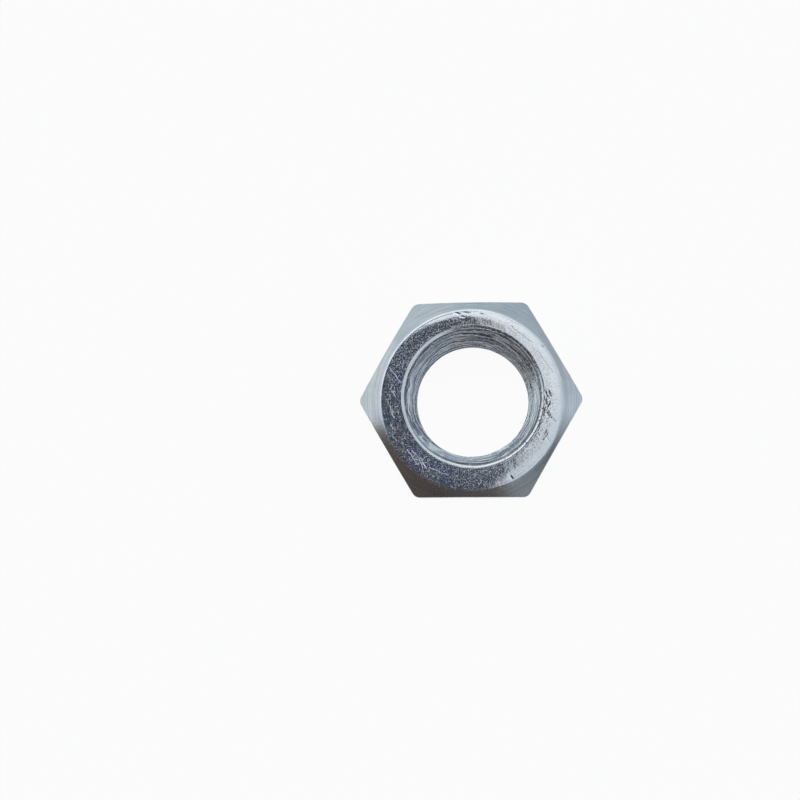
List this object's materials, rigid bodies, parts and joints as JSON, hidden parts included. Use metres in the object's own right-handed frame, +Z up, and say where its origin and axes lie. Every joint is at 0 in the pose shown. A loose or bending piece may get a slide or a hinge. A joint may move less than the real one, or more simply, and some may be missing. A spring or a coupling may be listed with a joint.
{
  "type": "thin hex nut",
  "caption": "Thin hexagon nut, chamfered on both faces, with a countersunk and threaded bore, in bright zinc-plated steel.",
  "frame": {"origin": "middle of the lower bearing face, on the surface that the nut lies on", "axes": "+Z up the bore, +X through a corner of the hexagon, and flats facing +Y and -Y"},
  "size_m": [0.0342, 0.03, 0.0097],
  "materials": {
    "zinc_plated_steel": "bright zinc plate with a clear blue passivation, finely pitted, with light scratches and rim chips"
  },
  "bodies": {
    "root": {"thin_hex_nut": "zinc_plated_steel"}
  },
  "joints": []
}
